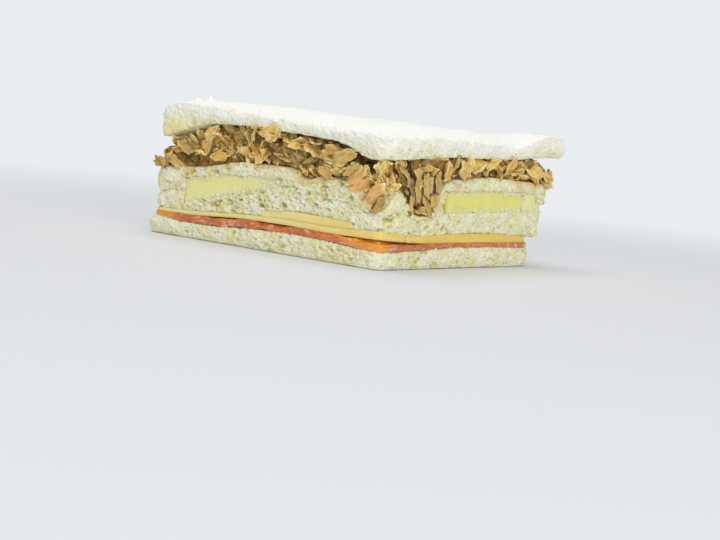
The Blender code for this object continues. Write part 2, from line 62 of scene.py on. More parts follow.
# Plan of the half: the square corner points to -Y and each layer reaches along both faces
CORNER = Vector((3.0 * MM, 39.16 * MM))
REACH = {
    "bread_bottom": (101 * MM, 92 * MM),
    "cured_ham": (99 * MM, 90.5 * MM),
    "cheese": (98.5 * MM, 89.5 * MM),
    "bread_lower": (97.5 * MM, 97.5 * MM),
    "bread_upper": (98 * MM, 101 * MM),
    "tuna": (100 * MM, 105 * MM),
    "bread_top": (98 * MM, 110 * MM),
}


# Noise and distances

SPREADERS = (73856093, 19349663, 83492791, 2654435761)
MIXERS = (2246822519, 3266489917)
MASK = 0xFFFFFFFF
LOW_BITS = 0xFFFFFF


def hashed(cells, seed):
    """Even random values from 0 to 1 for whole-number cells."""
    a, b, c, d = SPREADERS
    n = (cells[:, 0] * a ^ cells[:, 1] * b ^ cells[:, 2] * c ^ seed * d) & MASK
    n = (n ^ (n >> 15)) * MIXERS[0] & MASK
    n = (n ^ (n >> 13)) * MIXERS[1] & MASK
    return ((n ^ (n >> 16)) & LOW_BITS) / LOW_BITS


def ripple(points, size, seed):
    """Smooth noise from -1 to 1 with features of that size, or of three sizes along the axes."""
    scaled = points / np.array(size)
    base = np.floor(scaled).astype(np.int64)
    part = scaled - base
    part = part * part * (3 - 2 * part)
    total = np.zeros(len(points))
    for corner in range(8):
        step = np.array([corner & 1, corner >> 1 & 1, corner >> 2 & 1])
        weight = np.prod(np.where(step, part, 1 - part), axis=1)
        total += weight * hashed(base + step, seed)
    return total * 2 - 1


def cloud(points, size, seed, layers=3):
    """Noise with finer and weaker layers on it."""
    total = np.zeros(len(points))
    for k in range(layers):
        total += ripple(points, np.array(size) / 2**k, seed + k * 17) / 2**k
    return total / 1.6


def pits(points, size, seed, share):
    """Depth from 0 to 1 of rounded pores of about that size, in a share of the cells."""
    scaled = points / np.array(size)
    base = np.floor(scaled).astype(np.int64)
    depth = np.zeros(len(points))
    for k in range(27):
        cell = base + np.array([k % 3, k // 3 % 3, k // 9]) - 1
        middle = np.stack([hashed(cell, seed + axis) for axis in (1, 2, 3)], axis=1)
        far = np.linalg.norm(cell + middle - scaled, axis=1)
        wide = 0.25 + 0.5 * hashed(cell, seed + 4)
        there = hashed(cell, seed + 5) < share
        depth = np.maximum(depth, np.where(there, np.clip(1 - (far / wide) ** 2, 0, 1), 0))
    return np.sqrt(depth)


def warped(points, size, amount, seed):
    """Points pushed about by noise, so that what is drawn at them turns uneven."""
    shift = np.stack([cloud(points, size, seed + k, 2) for k in (1, 2, 3)], axis=1)
    return points + shift * amount


def nearest(points, marks):
    """Distance of each point from the nearest mark, and which mark that is."""
    tree = KDTree(len(marks))
    for index, mark in enumerate(marks):
        tree.insert(mark, index)
    tree.balance()
    found = [tree.find(point) for point in points]
    return np.array([f[2] for f in found]), np.array([f[1] for f in found])


def plan(points):
    """Distances along the left and the right face of points."""
    x = points[:, 0] + CORNER.x
    y = points[:, 1] + CORNER.y
    return (y - x) / math.sqrt(2), (y + x) / math.sqrt(2)


def inwards(points, layer):
    """Distance of points from the nearest side of a layer."""
    u, v = plan(points)
    left, right = REACH[layer]
    back = (1 - u / left - v / right) / math.hypot(1 / left, 1 / right)
    return np.minimum(np.minimum(u, v), back)


# Meshes


def merged(node):
    """A CAD node's triangles, joined along their edges."""
    source = bmesh.new()
    source.from_mesh(frame["nodes"][node].data)
    bmesh.ops.remove_doubles(source, verts=source.verts, dist=1e-6)
    return source


def refine(source, limit):
    """Halves every edge that is longer than the limit at its middle, until none is left."""
    for _ in range(7):
        edges = list(source.edges)
        ends = np.array([[*e.verts[0].co, *e.verts[1].co] for e in edges])
        middles = (ends[:, :3] + ends[:, 3:]) / 2
        lengths = np.linalg.norm(ends[:, :3] - ends[:, 3:], axis=1)
        long = np.nonzero(lengths > limit(middles))[0]
        if not len(long):
            break
        bmesh.ops.subdivide_edges(source, edges=[edges[i] for i in long], cuts=1)
        wide = [face for face in source.faces if len(face.verts) > 3]
        bmesh.ops.triangulate(source, faces=wide)


def arrays(source):
    """Points and triangles of a bmesh, which is freed."""
    source.verts.index_update()
    points = np.array([vert.co for vert in source.verts])
    faces = np.array([[vert.index for vert in face.verts] for face in source.faces])
    source.free()
    return points, faces


def meshed(node, layer, limits, cap=None):
    """Points and triangles of a CAD node, and how far in the points are. The limits are the depth of its
    finely meshed side, and the longest edge there and elsewhere; a cap has a limit of its own."""
    deep, fine, coarse = limits

    def limit(middles):
        step = np.where(inwards(middles, layer) < deep, fine, coarse)
        return np.minimum(step, cap(middles)) if cap else step

    source = merged(node)
    refine(source, limit)
    points, faces = arrays(source)
    return points, faces, inwards(points, layer)


def relaxed(points, faces, moving, rounds):
    """Points drawn towards their neighbours, as far as they may move."""
    a = np.concatenate([faces[:, 0], faces[:, 1], faces[:, 2]])
    b = np.concatenate([faces[:, 1], faces[:, 2], faces[:, 0]])
    count = np.maximum(np.bincount(a, minlength=len(points)), 1)[:, None]
    for _ in range(rounds):
        total = np.stack([np.bincount(a, points[b, k], len(points)) for k in range(3)], axis=1)
        points = points + (total / count - points) * 0.5 * moving[:, None]
    return points


def normals(points, faces):
    """Outward directions at the points."""
    a, b, c = (points[faces[:, k]] for k in range(3))
    cross = np.cross(b - a, c - a)
    total = np.zeros_like(points)
    for k in range(3):
        for axis in range(3):
            total[:, axis] += np.bincount(faces[:, k], cross[:, axis], len(points))
    return total / np.maximum(np.linalg.norm(total, axis=1), 1e-12)[:, None]


def shaped(name, points, faces, material, **values):
    """Smooth mesh with named values on its points, which its material reads."""
    mesh = bpy.data.meshes.new(name)
    mesh.from_pydata(points.tolist(), [], faces.tolist())
    for key, value in values.items():
        kind, field = ("FLOAT_VECTOR", "vector") if value.ndim == 2 else ("FLOAT", "value")
        mesh.attributes.new(key, kind, "POINT").data.foreach_set(field, value.astype(np.float32).ravel())
    mesh.polygons.foreach_set("use_smooth", [True] * len(mesh.polygons))
    mesh.materials.append(material)
    return mesh


def finished(mesh, nodes=()):
    """Visible piece made of a mesh, which stands in for the nodes that are named."""
    made = bpy.data.objects.new(mesh.name, mesh)
    bpy.context.scene.collection.objects.link(made)
    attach(made, "root")
    if nodes:
        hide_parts(*nodes)
    return made


# Materials


def linear(red, green, blue):
    """Shader colour of an sRGB colour that is given from 0 to 255."""
    parts = [c / 255 for c in (red, green, blue)]
    return [c / 12.92 if c < 0.04045 else ((c + 0.055) / 1.055) ** 2.4 for c in parts] + [1.0]


class Value:
    """A number in a shader, on which Python arithmetic works."""

    def __init__(self, paint, socket):
        self.paint = paint
        self.socket = socket

    def __add__(self, other):
        return self.paint.worked("ADD", self, other)

    def __sub__(self, other):
        return self.paint.worked("SUBTRACT", self, other)

    def __rsub__(self, other):
        return self.paint.worked("SUBTRACT", other, self)

    def __mul__(self, other):
        return self.paint.worked("MULTIPLY", self, other)

    __radd__ = __add__
    __rmul__ = __mul__


class Paint:
    """A material with its Principled shader, and the nodes that feed it."""

    def __init__(self, name, **constants):
        self.material = bpy.data.materials.new(name)
        self.material.use_nodes = True
        self.tree = self.material.node_tree
        self.shader = self.tree.nodes["Principled BSDF"]
        for key, value in constants.items():
            self.shader.inputs[key.replace("_", " ")].default_value = value
        self.object = self.add("ShaderNodeTexCoord", "Object")

    def add(self, kind, output, inputs=None, **settings):
        """A node with its settings and inputs, as the value of one of its outputs."""
        node = self.tree.nodes.new(kind)
        for key, value in settings.items():
            setattr(node, key, value)
        for key, value in (inputs or {}).items():
            self.feed(node.inputs[key], value)
        return Value(self, node.outputs[output])

    def feed(self, socket, value):
        """Links a value to a socket, or sets it there if it is a constant."""
        if isinstance(value, Value):
            self.tree.links.new(value.socket, socket)
        else:
            socket.default_value = value

    def worked(self, operation, a, b):
        return self.add("ShaderNodeMath", 0, {0: a, 1: b}, operation=operation)

    def stretched(self, x, y, z):
        """Object coordinates in millimetres, stretched along the axes."""
        scale = [1 / (MM * k) for k in (x, y, z)]
        inputs = {0: self.object, 1: scale}
        return self.add("ShaderNodeVectorMath", 0, inputs, operation="MULTIPLY")

    def noise(self, size, detail=3.0, vector=None):
        """Noise from 0 to 1; the size is in millimetres, one for all or one for each axis."""
        at = vector or self.stretched(*(size if isinstance(size, tuple) else (size,) * 3))
        inputs = {"Vector": at, "Scale": 1.0, "Detail": detail, "Roughness": 0.6}
        return self.add("ShaderNodeTexNoise", 0, inputs)

    def cells(self, size):
        """Distance from the middle of round cells of that size in millimetres."""
        inputs = {"Vector": self.stretched(size, size, size), "Scale": 1.0}
        return self.add("ShaderNodeTexVoronoi", "Distance", inputs)

    def named(self, name, output="Fac"):
        """A value kept on the points of the mesh."""
        return self.add("ShaderNodeAttribute", output, attribute_name=name)

    def between(self, value, low, high):
        """Smooth step from 0 at low to 1 at high."""
        inputs = {"Value": value, "From Min": low, "From Max": high}
        return self.add("ShaderNodeMapRange", 0, inputs, interpolation_type="SMOOTHSTEP")

    def mix(self, share, a, b):
        """Colour a, turning to colour b where the share is 1."""
        node = self.tree.nodes.new("ShaderNodeMix")
        node.data_type = "RGBA"
        for index, value in ((0, share), (6, a), (7, b)):
            self.feed(node.inputs[index], value)
        return Value(self, node.outputs[2])

    def colour(self, value):
        self.feed(self.shader.inputs["Base Color"], value)

    def bump(self, height, distance, strength=0.6):
        inputs = {"Height": height, "Distance": distance, "Strength": strength}
        self.feed(self.shader.inputs["Normal"], self.add("ShaderNodeBump", 0, inputs))


def bread_material():
    """White crumb: cream to white, painted shade in yellow-green in its pores, a painted highlight on the top
    slice's upper side, pale spread that also serves as painted light at one end, and a few amber stains.
    """
    dull = {"Roughness": 0.95, "Specular_IOR_Level": 0.1}
    paint = Paint("crumb", Subsurface_Weight=0.12, Subsurface_Scale=0.001, **dull)
    hollow = paint.named("hollow")
    spots = paint.between(paint.noise(5, 4.0), 0.4, 0.66)
    body = paint.mix(spots, linear(245, 242, 216), linear(236, 231, 178))
    # Painted highlight: the top slice's upper side and shoulder turn near white as if lit from above.
    crown = paint.named("crown")
    # Pale spread, and at the left end of the top slice painted light that lightens a shaded face.
    spread = paint.mix(paint.named("cream"), body, linear(251, 248, 190))
    top = paint.mix(crown, spread, linear(250, 250, 241))
    fine = paint.between(paint.noise((1.3, 1.3, 0.7), 5.0), 0.5, 0.68)
    # Painted shade: pores and the fine grain darken to yellow-green, less on the top slice's upper side.
    depth = paint.between(hollow + fine * (0.42 - crown * 0.36), 0.1, 1.0)
    crumb = paint.mix(depth, top, linear(196, 188, 108))
    paint.colour(paint.mix(paint.named("stain"), crumb, linear(220, 178, 76)))
    paint.bump(paint.noise(0.6, 4.0) + paint.cells(0.8) * 0.7, 0.3 * MM, 0.75)
    return paint.material


def cheese_material():
    """Mild processed cheese, more golden in places."""
    paint = Paint("cheese_slice", Roughness=0.34, Subsurface_Weight=0.2, Subsurface_Scale=0.002)
    soft = paint.between(paint.noise((9, 9, 2), 2.0), 0.35, 0.7)
    gold = paint.named("tone") * 0.8 + soft * 0.3
    paint.colour(paint.mix(gold, linear(248, 236, 172), linear(244, 206, 86)))
    paint.bump(paint.noise((3, 3, 0.8), 3.0), 0.12 * MM, 0.4)
    return paint.material


def ham_material():
    """Cured ham: salmon to orange, darker lines and pale fat specks."""
    wet = {"Roughness": 0.28, "Coat_Weight": 0.4}
    paint = Paint("ham_slice", Subsurface_Weight=0.12, Subsurface_Scale=0.0015, **wet)
    patches = paint.between(paint.noise((7, 7, 2), 3.0), 0.46, 0.62)
    warm = paint.named("tone")
    orange = warm * 0.9 + patches * 0.35
    red = paint.mix(orange, linear(202, 104, 56), linear(246, 162, 40))
    lines = paint.between(paint.noise((4, 4, 0.5), 4.0), 0.5, 0.7)
    dark = paint.mix(lines * (1 - warm * 0.6), red, linear(156, 66, 36))
    pale = paint.between(paint.noise((2.0, 2.0, 0.8), 4.0), 0.55, 0.65)
    paint.colour(paint.mix(pale * (0.85 - warm * 0.4), dark, linear(240, 200, 176)))
    paint.bump(paint.noise((2, 2, 0.5), 3.0), 0.2 * MM, 0.6)
    return paint.material


def pineapple_material():
    """Pineapple flesh: clear yellow with upright fibres, greener in patches."""
    glow = {"Subsurface_Weight": 0.4, "Subsurface_Scale": 0.004, "Subsurface_Radius": (1.0, 0.95, 0.4)}
    paint = Paint("pineapple_flesh", Roughness=0.2, **glow)
    fibres = paint.noise((0.8, 0.8, 9), 3.0)
    ripe = paint.mix(paint.named("tone"), linear(248, 246, 186), linear(240, 230, 112))
    tone = paint.mix(paint.between(fibres, 0.5, 0.75) * 0.5, ripe, linear(250, 248, 190))
    edge = paint.between(paint.noise((8, 8, 5), 2.0), 0.5, 0.72)
    green = paint.mix(edge * 0.4, tone, linear(222, 214, 92))
    # Painted highlight: the fruit is paler along its upper and lower edges, as if they catch the light.
    pale = paint.mix(paint.named("rim") * 0.55, green, linear(246, 242, 200))
    # Painted shade: dark olive at the right slab's end, which lies in shadow.
    paint.colour(paint.mix(paint.named("shade"), pale, linear(176, 166, 30)))
    paint.bump(fibres, 0.22 * MM, 0.4)
    return paint.material


def tuna_core_material():
    """Tuna deep between the flakes, painted dark as shade, and near black as painted shadow in the gaps."""
    paint = Paint("tuna_shade", Roughness=0.6)
    fibres = paint.noise((1.2, 1.2, 3.0), 4.0)
    # Painted shade: the core is darker than the flakes, and near black as painted shadow in the gaps.
    packed = paint.mix(paint.between(fibres, 0.35, 0.7), linear(122, 82, 20), linear(204, 160, 80))
    paint.colour(paint.mix(paint.named("gap") * 0.85, packed, linear(66, 36, 6)))
    paint.bump(fibres, 0.4 * MM, 0.8)
    return paint.material


def flake_material():
    """Cooked tuna: golden tan with fine fibres, a painted highlight on the flake rims and painted shade where
    flakes lie deep.
    """
    shine = {"Roughness": 0.38, "Specular_IOR_Level": 0.32}
    paint = Paint("tuna_flake", Subsurface_Weight=0.12, Subsurface_Scale=0.001, **shine)
    tone = paint.named("tone")
    fibre = paint.named("fibre", "Vector")
    scale = paint.add("ShaderNodeVectorMath", 0, {0: fibre, 1: (2.2, 0.35, 1.0)}, operation="MULTIPLY")
    streaks = paint.noise(1, 3.0, scale)
    blotch = paint.between(paint.noise(1.7, 4.0), 0.36, 0.66)
    body = paint.mix(tone * 0.6 + blotch * 0.5, linear(232, 174, 60), linear(255, 234, 148))
    lined = paint.mix(paint.between(streaks, 0.56, 0.36) * 0.5, body, linear(160, 106, 30))
    patches = paint.between(paint.noise(7, 2.0), 0.6, 0.78)
    pink = paint.mix(patches * 0.3 + paint.named("blush") * 0.55, lined, linear(228, 168, 116))
    # Painted highlight: the flake rims turn pale as if they catch the light.
    torn = paint.mix(paint.between(paint.named("rim"), 0.5, 0.95) * 0.9, pink, linear(255, 236, 172))
    # Painted shade: flakes darken to brown where they lie deep, under others or hang low.
    paint.colour(paint.mix(paint.named("deep"), torn, linear(92, 50, 0)))
    paint.bump(streaks + paint.noise(1.1, 3.0) * 1.4, 0.26 * MM, 0.8)
    return paint.material


# Bread: depth of the torn wall, and the longest edge on it and elsewhere
WALL = 1.2 * MM
BREAD_LIMITS = (WALL, 0.42 * MM, 6 * MM)
# Height in millimetres at which the top slice's cap begins, and the longest edge there and at its tufts
CAP_FROM = 36
CAP_STEP = 1.1 * MM
TUFT_STEP = 0.55 * MM
# Soft start of the grain on the top slice
GRAIN_FROM = 38 * MM
GRAIN_BLEND = 2 * MM
# The lowest slice keeps its flat underside up to here
FLOOR_BLEND = 1.2 * MM
# Broad side by which a slice is joined to the other round the fruit, and how much it is softened there
JOINED = {"bread_lower": 1, "bread_upper": -1}
JOINED_SHARE = 0.3
# Thickening in millimetres of the broad sides of those two slices and of the others
JOINED_GROWTH = 0.24
GROWTH = 0.2
# Pores: large and small ones, and the strands between them
LARGE_PORE = np.array([2.3, 2.3, 1.3]) * MM
SMALL_PORE = np.array([1.2, 1.2, 0.8]) * MM
STRAND = np.array([2.1, 2.1, 1.0]) * MM
LARGE_SHARE = 0.3
SMALL_SHARE = 0.6

# Spots in millimetres: distances along the left and the right face, height, reach and, last, strength.
# Juice and oil soaked into the crumb
STAINS = (
    (79.3, 0, 38.1, 1.3, 1.0),
    (86.5, 0, 34.2, 4.2, 0.4),
    (72, 0, 38.4, 2.4, 0.3),
    (84.3, 0, 17.3, 1.6, 0.75),
    (67.5, 0, 12.0, 2.6, 0.35),
    (0, 85.5, 39.9, 2.0, 0.35),
    (2, 3, 20.5, 5.5, 0.14),
    (52, 0, 39.5, 2.0, 0.35),
    (31, 0, 38.2, 2.2, 0.25),
    (0, 26, 17.5, 5.0, 0.14),
)


def soaked(points, spots):
    """How strongly each point is marked by the spots."""
    u, v = plan(points)
    at = np.stack([u, v, points[:, 2]], axis=1) / MM
    total = np.zeros(len(points))
    for left, right, height, reach, strength in spots:
        far = np.linalg.norm((at - (left, right, height)) * (1, 1, 1.4), axis=1) / reach
        total = np.maximum(total, strength * np.exp(-(far**2)))
    return total * (0.75 + 0.5 * ripple(points, 1.2 * MM, 77))


# How open the torn crumb of each slice is
OPENNESS = {"bread_bottom": 0.75, "bread_lower": 1.0, "bread_upper": 0.85, "bread_top": 0.4}

# Spots of pale spread on the crumb; the fourth is painted light that lightens the shaded left end of the top
# slice
SPREADS_AND_LIGHT = (
    (0, 3.5, 21.0, 5.0, 0.9),
    (0, 22, 18.6, 5.0, 0.7),
    (0, 12, 18.0, 4.0, 0.6),
    (88, 0, 36.0, 10.0, 1.0),
    (0, 85.5, 39.4, 4.0, 0.4),
)

# Spots at which the crumb is airy
AIRY = (
    (30, 0, 22, 13, 1.0),
    (43, 0, 18, 9, 0.7),
    (56, 0, 27, 7, 0.6),
    (0, 50, 31, 7, 0.6),
)

# Tufts of crumb on the top slice: distances along the left and the right face, reach, height
TUFTS = ((85.3, 6.5, 1.9, 1.7), (79.5, 6.5, 1.2, 1.8))
# Room round the first tuft, along the left face and away from it, that is finely meshed
TUFT_ROOM = (9, 3)

# Where the left end of the top slice begins to sink, where it has sunk fully, and how far
END_SINK = (82, 95, 1.6)


def cap_step(middles):
    """Longest edge on the cap of the top slice, which is shorter round its tufts."""
    u, v = plan(middles)
    near = (np.abs(u / MM - TUFTS[0][0]) < TUFT_ROOM[0]) & (np.abs(v / MM - TUFTS[0][1]) < TUFT_ROOM[1])
    return np.where(middles[:, 2] > CAP_FROM * MM, np.where(near, TUFT_STEP, CAP_STEP), np.inf)


def tufted(points):
    """The top slice with its tufts, and with its left end sunk a little."""
    u, v = plan(points)
    high = np.clip(points[:, 2] / MM - CAP_FROM, 0, 8) / 8
    begin, full, sink = END_SINK
    rise = -sink * np.clip((u / MM - begin) / (full - begin), 0, 1) ** 1.4 * high
    for left, right, reach, height in TUFTS:
        far = np.hypot(u / MM - left, v / MM - right) / reach
        rise = rise + height * np.exp(-(far**2.4)) * high**4
    return points + np.stack([0 * u, 0 * u, rise * MM], axis=1)


def highlit_crown(points, out, on_top, inner):
    """Painted highlight on the top slice: its upper side is whitened as if lit from above, and less so its
    rounded shoulder.
    """
    crown = np.clip(out[:, 2] * 1.6, 0, 1) * on_top
    marks = points[(out[:, 2] > 0.8) & (on_top > 0)]
    near = inner < 2.5 * MM
    flatly = points[near] * (1, 1, 0)
    drop = marks[nearest(flatly, marks * (1, 1, 0))[1], 2] - points[near, 2]
    crown[near] = np.maximum(crown[near], np.clip(1.1 - drop / (5.5 * MM), 0, 0.78))
    return crown


def joined_edge(points, inner, joined):
    """How near the points of a cut side are to the edge at which two slices are joined."""
    seam = 0 * inner
    close = inner < 2 * MM
    far = nearest(points[close], points[joined & (inner < 0.3 * MM)])[0]
    seam[close] = np.clip(1.2 - far / (0.9 * MM), 0, 1) * (inner[close] < 0.4 * MM)
    return seam


def oiled(stain, points, out, flat, inner):
    """The stains, with oil from the tuna along the upper edge of the slice below it."""
    rim = inner < 1.5 * MM
    edge = points[(np.abs(out[:, 2]) > 0.3) & (flat < 0) & (inner < 0.5 * MM)]
    close = np.clip(1.3 - nearest(points[rim], edge)[0] / (0.9 * MM), 0, 1)
    oily = np.clip(0.5 + cloud(points[rim], 5 * MM, 91, 2), 0, 1)
    stain[rim] = np.maximum(stain[rim], close * oily * 0.55)
    return stain


def torn(points, seed, openness, crown, cream):
    """Torn crumb: how far it stands out in millimetres, and how much painted shade its pores get."""
    bent = warped(points, 1.4 * MM, 0.55 * MM, seed + 80)
    large = pits(bent, LARGE_PORE, seed, LARGE_SHARE)
    small = pits(bent, SMALL_PORE, seed + 9, SMALL_SHARE)
    rag = cloud(points, 1.4 * MM, seed + 20)
    strand = 1 - np.abs(cloud(bent, STRAND, seed + 40, 2)) * 3
    swell = cloud(points, 5 * MM, seed + 30, 2)
    open_crumb = np.clip(1.0 + cloud(points, 17 * MM, seed + 60, 2) * 1.4, 0.4, 1.7)
    open_crumb = open_crumb * openness * (1 - crown * 0.8) * (1 - cream * 0.7)
    open_crumb = open_crumb * (1 + 0.55 * soaked(points, AIRY))
    pores = (large * 0.62 + small * 0.42) * open_crumb
    lumps = rag * 0.34 + np.clip(strand, -0.6, 1) * 0.28
    shift = swell * 0.4 + lumps * (1 - crown * 0.6) - pores + 0.28
    # The second value is painted shade in the pores, lighter on the strands.
    return shift, np.clip(pores * 1.1 - strand * 0.2, 0, 1)


def bread(node, seed, material):
    """Slice of bread: torn crumb with pores on its cut sides, a finer grain on its broad sides."""
    top, bottom = node == "bread_top", node == "bread_bottom"
    points, faces, inner = meshed(node, node, BREAD_LIMITS, cap_step if top else None)
    wall = np.clip(1.3 - inner / WALL * 0.8, 0, 1)
    on_top = np.clip((points[:, 2] - GRAIN_FROM) / GRAIN_BLEND, 0, 1) if top else 0 * inner
    floor_held = np.clip(points[:, 2] / FLOOR_BLEND, 0, 1) if bottom else 1 + 0 * inner
    flat = normals(points, faces)[:, 2] * JOINED.get(node, 0)
    joined = flat > 0.2
    moving = np.maximum(wall * np.where(joined, JOINED_SHARE, 1), on_top) * floor_held
    seam = joined_edge(points, inner, joined) if node in JOINED else 0 * inner
    points = relaxed(points, faces, moving, 4)
    out = normals(points, faces)
    side = wall * np.clip(1.6 - np.abs(out[:, 2]) * 1.2, 0.25, 1)
    # Painted highlight on the top slice's upper side and shoulder.
    crown = highlit_crown(points, out, on_top, inner) if top else 0 * inner
    cream = soaked(points, SPREADS_AND_LIGHT)
    stain = soaked(points, STAINS)
    if node == "bread_upper":
        stain = oiled(stain, points, out, flat, inner)
    shift, hollow = torn(points, seed, OPENNESS[node], crown, cream)
    grain = cloud(points, 1.1 * MM, seed + 50) * 0.14
    growth = JOINED_GROWTH if node in JOINED else GROWTH
    move = (side * shift + (1 - side) * (on_top * grain + growth)) * MM * floor_held
    points = points + out * move[:, None]
    if top:
        points = tufted(points)
    if bottom:
        points[:, 2] = np.maximum(points[:, 2], 0)
    values = {
        "hollow": hollow * side,
        "crown": crown,
        "stain": stain,
        "cream": cream,
        "show": np.clip(side * 1.3 - 0.3, 0, 1),
        "seam": seam,
    }
    finished(shaped(node + "_crumb", points, faces, material, **values), (node,))


# Slices of cheese and ham: depth of the finely meshed side and longest edges, then the reach of the
# softened edge and the thickening in millimetres
SLICE_LIMITS = (2.2 * MM, 0.6 * MM, 4 * MM)
SLICE_SOFT = 1.8 * MM
SLICE_GROWTH = 0.22


def thin_slice(node, layer, material, waves, tones, rounds):
    """Slice of cheese or ham, with softened and uneven cut edges; its tone changes along the faces."""
    points, faces, inner = meshed(node, layer, SLICE_LIMITS)
    near = np.clip(1.4 - inner / SLICE_SOFT, 0, 1)
    points = relaxed(points, faces, near, rounds)
    out = normals(points, faces)
    points = points + out * (near * waves(points) + SLICE_GROWTH)[:, None] * MM
    u, v = plan(points)
    tone = np.interp((v - u) / MM, *zip(*tones))
    finished(shaped(node + "_slice", points, faces, material, tone=tone), (node,))


def cheese_waves(points):
    """Unevenness of the cheese's edge in millimetres."""
    return cloud(points, 5 * MM, 6, 2) * 0.15


def ham_waves(points):
    """Unevenness of the ham's edge in millimetres: it draws back under the cheese in places."""
    shade = np.clip(cloud(points, np.array([9, 9, 40]) * MM, 61, 2) * 3 + 0.1, 0, 1)
    u, v = plan(points)
    near = np.clip((24 * MM - np.maximum(u * 2.4, v)) / (8 * MM), 0, 1)
    high = np.clip((points[:, 2] - 7.4 * MM) / (0.8 * MM), 0, 1)
    return cloud(points, 2.8 * MM, 4) * 0.45 - np.maximum(shade * 0.7, near * 1.5) * high


# Fruit: depth of the finely meshed side and longest edges
FRUIT_LIMITS = (3 * MM, 0.8 * MM, 3 * MM)
# Painted shade: the right slab turns dark olive up to here along the right face, over that length, where its
# end lies in shadow
SHADE_END = 34 * MM
SHADE_BLEND = 2 * MM


def fruit(node, ripeness, material):
    """Slab of pineapple with its fibres raised on the cut face."""
    points, faces, inner = meshed(node, "bread_lower", FRUIT_LIMITS)
    points = relaxed(points, faces, np.ones(len(points)), 1)
    out = normals(points, faces)
    # Nearness to the upper and lower sides, which gets a painted highlight and marks where shreds lie.
    rim = np.clip(1.2 - nearest(points, points[np.abs(out[:, 2]) > 0.8])[0] / (1.1 * MM), 0, 1)
    lines = cloud(points, np.array([1.1, 1.1, 12]) * MM, 5) * 0.14 + cloud(points, 5 * MM, 8, 2) * 0.2 + 0.3
    points = points + out * ((lines + 0.35 * np.abs(out[:, 2])) * MM)[:, None]
    # Painted shade at the right slab's end.
    shade = np.clip((SHADE_END - plan(points)[1]) / SHADE_BLEND, 0, 1) * (node == "pineapple_right")
    show = rim * (inner < 0.8 * MM)
    values = {"tone": np.full(len(points), ripeness), "rim": rim, "shade": shade, "show": show}
    finished(shaped(node + "_flesh", points, faces, material, **values), (node,))


# Spots of gaps beside the tuna, where its core sinks and is painted near black as shadow
SHADED_GAPS = (
    (48.5, 0, 36.6, 2.8, 1.0),
    (23.5, 0, 37.0, 4.6, 1.0),
    (9.0, 0, 31.6, 5.4, 1.0),
    (0, 12.4, 33.4, 4.4, 1.0),
    (33, 0, 30.5, 2.4, 0.8),
    (0, 55, 36.0, 2.6, 0.8),
    (0, 13.5, 26, 5.5, 0.5),
    (0, 22.5, 24, 5.5, 0.5),
)
# Core of the tuna: depth of the finely meshed side and longest edges
CORE_LIMITS = (9 * MM, 1.4 * MM, 5 * MM)


def tuna_core(material):
    """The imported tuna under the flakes, rough and in shade."""
    points, faces, inner = meshed("tuna", "tuna", CORE_LIMITS)
    near = np.clip((11 * MM - inner) / (4 * MM), 0, 1)
    points = relaxed(points, faces, near, 2)
    out = normals(points, faces)
    # Painted shadow in the gaps, where the core also sinks.
    gap = np.clip(soaked(points, SHADED_GAPS) * 1.5, 0, 1)
    level = np.clip(np.abs(out[:, 2]) * 2 - 1, 0, 1)
    shift = (cloud(points, 3.4 * MM, 3) * 0.9 - 0.8 - gap * 1.4) * (1 - level) + level * 0.35
    points = points + out * (near * shift * MM)[:, None]
    show = np.clip((3.4 * MM + (1 - level) * 4 * MM - inner) / (1 * MM), 0, 1) * (1 - gap)
    return finished(shaped("tuna_core", points, faces, material, show=show, gap=gap), ("tuna",))


# Flakes of tuna: range of their ragged ends and sides, and their folds, from wide to narrow
RAGGED_ENDS = (0.45, 1.25)
RAGGED_SIDES = (0.55, 1.3)
FOLDS = (0.5, 0.32, 0.22)
FOLD_SHARE = 0.13
RIDGE_SHARE = 0.2
# Flakes are crumpled together: size and amount of the crumples, and the angle from which an edge is sharp
CRUMPLE_SIZE = 2.3 * MM
CRUMPLE = 0.62 * MM
CREASE = math.radians(48)


def flake_faces(rows, columns):
    """Triangles of a closed flake: an upper and a lower grid that share their border."""
    count = rows * columns
    top = np.arange(count).reshape(rows, columns)
    bottom = top.copy()
    bottom[1:-1, 1:-1] = count + np.arange((rows - 2) * (columns - 2)).reshape(rows - 2, -1)
    faces = []
    for i in range(rows - 1):
        for j in range(columns - 1):
            for grid, flip in ((top, 1), (bottom, -1)):
                a, b, c, d = grid[i, j], grid[i + 1, j], grid[i + 1, j + 1], grid[i, j + 1]
                faces += [(a, b, c)[::flip], (a, c, d)[::flip]]
    return np.array(faces)


def uneven(draw, count, low, high):
    """Even steps of random values, smoothed with their neighbours."""
    row = draw.uniform(low, high, count + 2)
    return (row[:-2] + row[1:-1] * 2 + row[2:]) / 4


